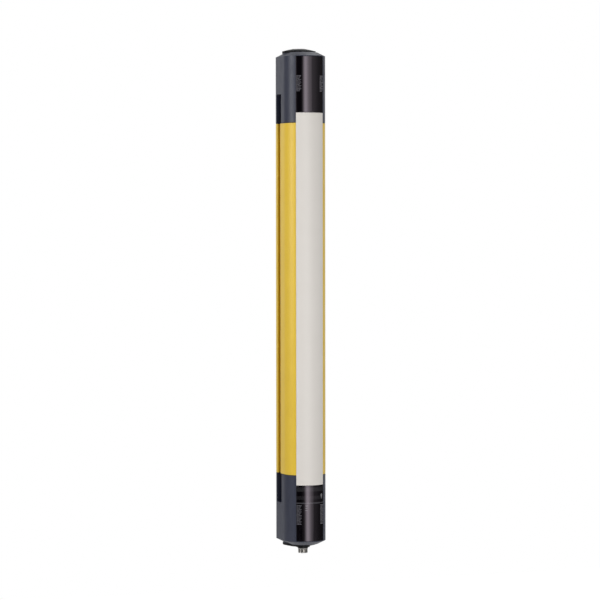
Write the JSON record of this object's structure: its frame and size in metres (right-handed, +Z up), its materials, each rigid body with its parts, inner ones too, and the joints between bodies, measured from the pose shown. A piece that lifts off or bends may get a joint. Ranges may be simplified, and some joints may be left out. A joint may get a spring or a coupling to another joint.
{
  "type": "multi-beam safety light barrier",
  "caption": "Tall column housing of a safety light barrier, with curved optical windows in moulded end caps and a side groove for mounting.",
  "frame": {"origin": "under the centre of the housing's plan, level with the tip of the connector", "axes": "+Z up along the column, -Y out of the front windows, +X to the right seen from the front"},
  "size_m": [0.052, 0.0646, 0.608],
  "materials": {
    "yellow_coat": null,
    "cover_grey": null,
    "cap_anthracite": null,
    "disc_black": null,
    "window_black": null,
    "seal_black": null,
    "screw_steel": null,
    "plug_grey": null,
    "nickel": null,
    "insert_black": null,
    "contact_gold": null,
    "carrier_sheet": null,
    "optics_black": null,
    "lens_clear": null,
    "board_green": null,
    "diode_clear": null,
    "component_dark": null,
    "spacer_white": null,
    "cable_grey": null,
    "cable_plug": null
  },
  "bodies": {
    "root": {"housing_profile": "yellow_coat", "front_cover": "cover_grey", "upper_end_cap": "cap_anthracite", "lower_end_cap": "cap_anthracite", "upper_pivot_disc": "disc_black", "lower_pivot_disc": "disc_black", "upper_window": "window_black", "lower_window": "window_black", "upper_window_seal": "seal_black", "lower_window_seal": "seal_black", "upper_cap_gasket": "seal_black", "lower_cap_gasket": "seal_black", "connector_seal": "seal_black", "upper_cap_screws": "screw_steel", "lower_cap_screws": "screw_steel", "pivot_screw": "screw_steel", "upper_optics_screws": "screw_steel", "lower_optics_screws": "screw_steel", "board_screws": "screw_steel", "top_plug": "plug_grey", "connector_shell": "nickel", "connector_nut": "nickel", "connector_insert": "insert_black", "connector_pins": "contact_gold", "carrier_plate": "carrier_sheet", "upper_optics_holder": "optics_black", "lower_optics_holder": "optics_black", "upper_lens": "lens_clear", "lower_lens": "lens_clear", "indicator_light_guide": "lens_clear", "upper_diode_board": "board_green", "lower_diode_board": "board_green", "control_board": "board_green", "indicator_board": "board_green", "upper_diode": "diode_clear", "lower_diode": "diode_clear", "board_components": "component_dark", "board_spacers": "spacer_white", "upper_ribbon_cable": "cable_grey", "lower_ribbon_cable": "cable_grey", "connector_leads": "cable_grey", "upper_ribbon_plugs": "cable_plug", "lower_ribbon_plugs": "cable_plug", "lead_plug": "cable_plug"}
  },
  "joints": []
}
